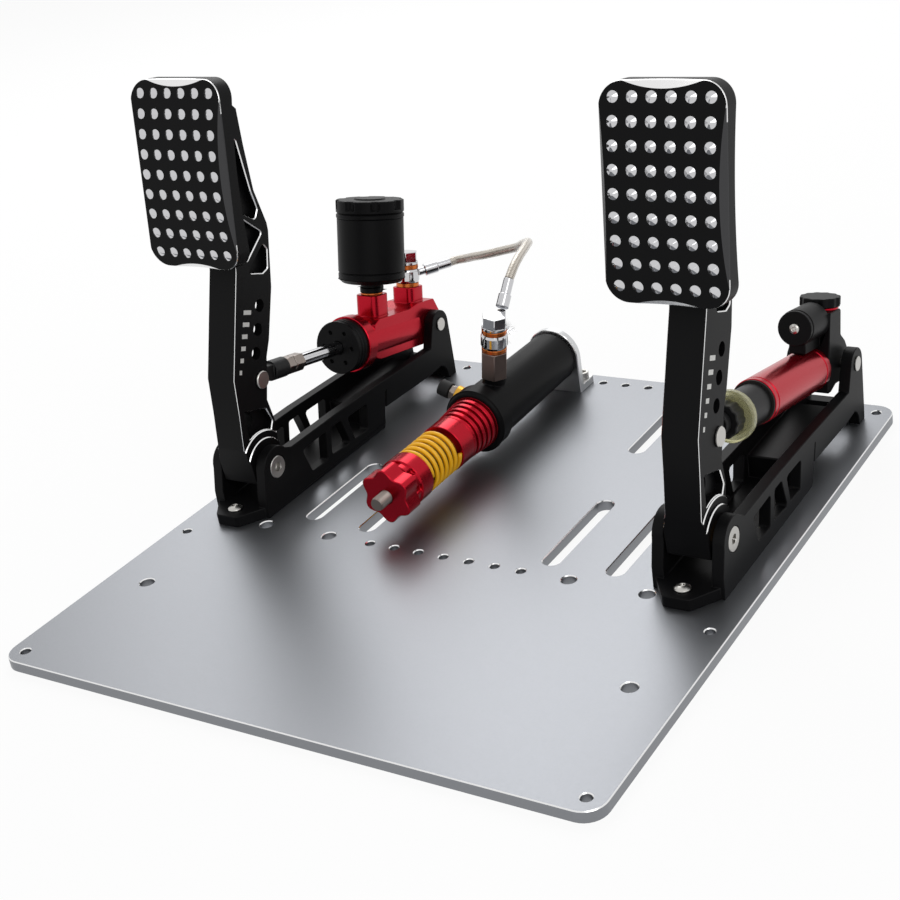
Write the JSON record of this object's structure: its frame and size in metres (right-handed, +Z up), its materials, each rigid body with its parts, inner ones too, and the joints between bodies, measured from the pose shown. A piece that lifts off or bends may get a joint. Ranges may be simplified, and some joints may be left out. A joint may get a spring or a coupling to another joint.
{
  "type": "sim racing pedal set",
  "caption": "Hydraulic brake pedal and damped throttle pedal on an aluminium base plate, with a brake cylinder, reservoir, hose and slave cylinder",
  "frame": {"origin": "middle of the base plate's underside", "axes": "+X right as the driver sits, +Y away from the driver, +Z up"},
  "size_m": [0.4309, 0.4873, 0.3174],
  "materials": {
    "plate_aluminium": "satin, with polished chamfers",
    "black_anodised": "black anodised, with bright machined chamfers",
    "red_anodised": "red anodised",
    "steel": "bright machined steel",
    "stainless": "stainless steel",
    "bracket_aluminium": "bright aluminium",
    "chrome": "polished",
    "copper": "copper washers",
    "gold": "gold coloured metal",
    "bronze": "bronze bushes",
    "yellow_spring": "yellow painted spring steel",
    "hose": "hose over a metal braid",
    "black_steel": "black steel",
    "black_plastic": "black plastic",
    "black_rubber": "rubber cap",
    "clear_plastic": "cloudy yellowish urethane",
    "seal": "pale seal"
  },
  "bodies": {
    "root": {"base_plate": "plate_aluminium", "brake_bracket": "black_anodised", "throttle_bracket": "black_anodised", "mounting_bolts": "steel", "pivot_bolts": "steel", "rear_pins": "steel", "slave_bracket": "bracket_aluminium", "slave_body": "black_anodised", "slave_collar": "black_anodised", "slave_adaptor": "stainless", "slave_banjo": "chrome", "slave_banjo_bolt": "chrome", "slave_washers": "copper", "slave_ferrule": "chrome", "bleed_fitting": "stainless", "bleed_cap": "black_rubber", "finned_sleeve": "red_anodised", "spring_core": "gold", "brake_hose": "hose", "preload_spring": "yellow_spring", "preload_ring": "red_anodised", "preload_stud": "stainless"},
    "preload_knob_body": {"preload_knob": "red_anodised"},
    "brake_pedal_body": {"brake_arm": "black_anodised", "brake_pad": "black_anodised", "brake_pad_studs": "chrome", "brake_pad_screws": "steel", "brake_bushes": "bronze", "brake_rod_pin": "steel"},
    "throttle_pedal_body": {"throttle_arm": "black_anodised", "throttle_pad": "black_anodised", "throttle_pad_studs": "chrome", "throttle_pad_screws": "steel", "throttle_bushes": "bronze", "throttle_rod_pin": "steel"},
    "master_cylinder": {"master_body": "red_anodised", "master_cap": "black_anodised", "reservoir_neck": "black_anodised", "reservoir_body": "black_anodised", "master_banjo": "chrome", "master_banjo_bolt": "chrome", "master_washers": "copper", "master_ferrule": "chrome"},
    "reservoir_cap_body": {"reservoir_cap": "black_anodised"},
    "brake_rod": {"brake_rod_end": "black_steel", "jam_nuts": "steel", "pushrod": "chrome", "master_piston": "steel"},
    "damper": {"damper_cylinder": "red_anodised", "damper_wiper": "seal", "damper_block": "black_anodised", "knob_ring": "red_anodised", "piggyback_cap": "black_anodised", "piggyback_screw": "steel"},
    "damper_knob_body": {"damper_knob": "black_anodised"},
    "damper_rod": {"throttle_rod_end": "black_steel", "damper_plunger": "black_plastic", "bump_ring": "clear_plastic"},
    "adjuster_nut_body": {"adjuster_nut": "black_plastic"}
  },
  "joints": [
    {"name": "brake_pedal", "type": "hinge", "parent": "root", "child": "brake_pedal_body", "pos_m": [-0.1765, -0.017, 0.0397], "axis": [-1, 0, 0], "range_deg": [0, 10], "stiffness_Nm_per_rad": 60, "springref_deg": -5.73},
    {"name": "master_swing", "type": "hinge", "parent": "root", "child": "master_cylinder", "pos_m": [-0.1765, 0.208, 0.0563], "axis": [1, 0, 0], "range_deg": [0, 0.5]},
    {"name": "pushrod_slide", "type": "slide", "parent": "master_cylinder", "child": "brake_rod", "axis": [0, 0.9789, -0.2042], "range_m": [0, 0.0115]},
    {"name": "reservoir_cap_turn", "type": "hinge", "parent": "master_cylinder", "child": "reservoir_cap_body", "pos_m": [-0.1765, 0.15748, 0.10157], "axis": [0, 0.2426, 0.9701], "continuous": true},
    {"name": "throttle_pedal", "type": "hinge", "parent": "root", "child": "throttle_pedal_body", "pos_m": [0.1737, -0.017, 0.0397], "axis": [-1, 0, 0], "range_deg": [0, 16], "stiffness_Nm_per_rad": 8, "springref_deg": -20.05},
    {"name": "damper_swing", "type": "hinge", "parent": "root", "child": "damper", "pos_m": [0.1737, 0.208, 0.0563], "axis": [1, 0, 0], "range_deg": [0, 1]},
    {"name": "damper_slide", "type": "slide", "parent": "damper", "child": "damper_rod", "axis": [0, 0.9789, -0.2042], "range_m": [0, 0.0178]},
    {"name": "damper_knob_turn", "type": "hinge", "parent": "damper", "child": "damper_knob_body", "pos_m": [0.1737, 0.19684, 0.05863], "axis": [0, 0.2042, 0.9789], "range_deg": [-135, 135]},
    {"name": "adjuster_nut_turn", "type": "hinge", "parent": "damper_rod", "child": "adjuster_nut_body", "pos_m": [0.1737, 0.05137, 0.08897], "axis": [0, 0.9789, -0.2042], "continuous": true},
    {"name": "preload_knob_turn", "type": "hinge", "parent": "root", "child": "preload_knob_body", "pos_m": [-0.05, -0.023, 0.0377], "axis": [0, 1, 0], "continuous": true}
  ],
  "couplings": [
    {"joint": "master_swing", "follows": "brake_pedal", "ratio": 0.036},
    {"joint": "pushrod_slide", "follows": "brake_pedal", "m_per_rad": 0.0619},
    {"joint": "damper_swing", "follows": "throttle_pedal", "ratio": 0.05},
    {"joint": "damper_slide", "follows": "throttle_pedal", "m_per_rad": 0.0612}
  ]
}
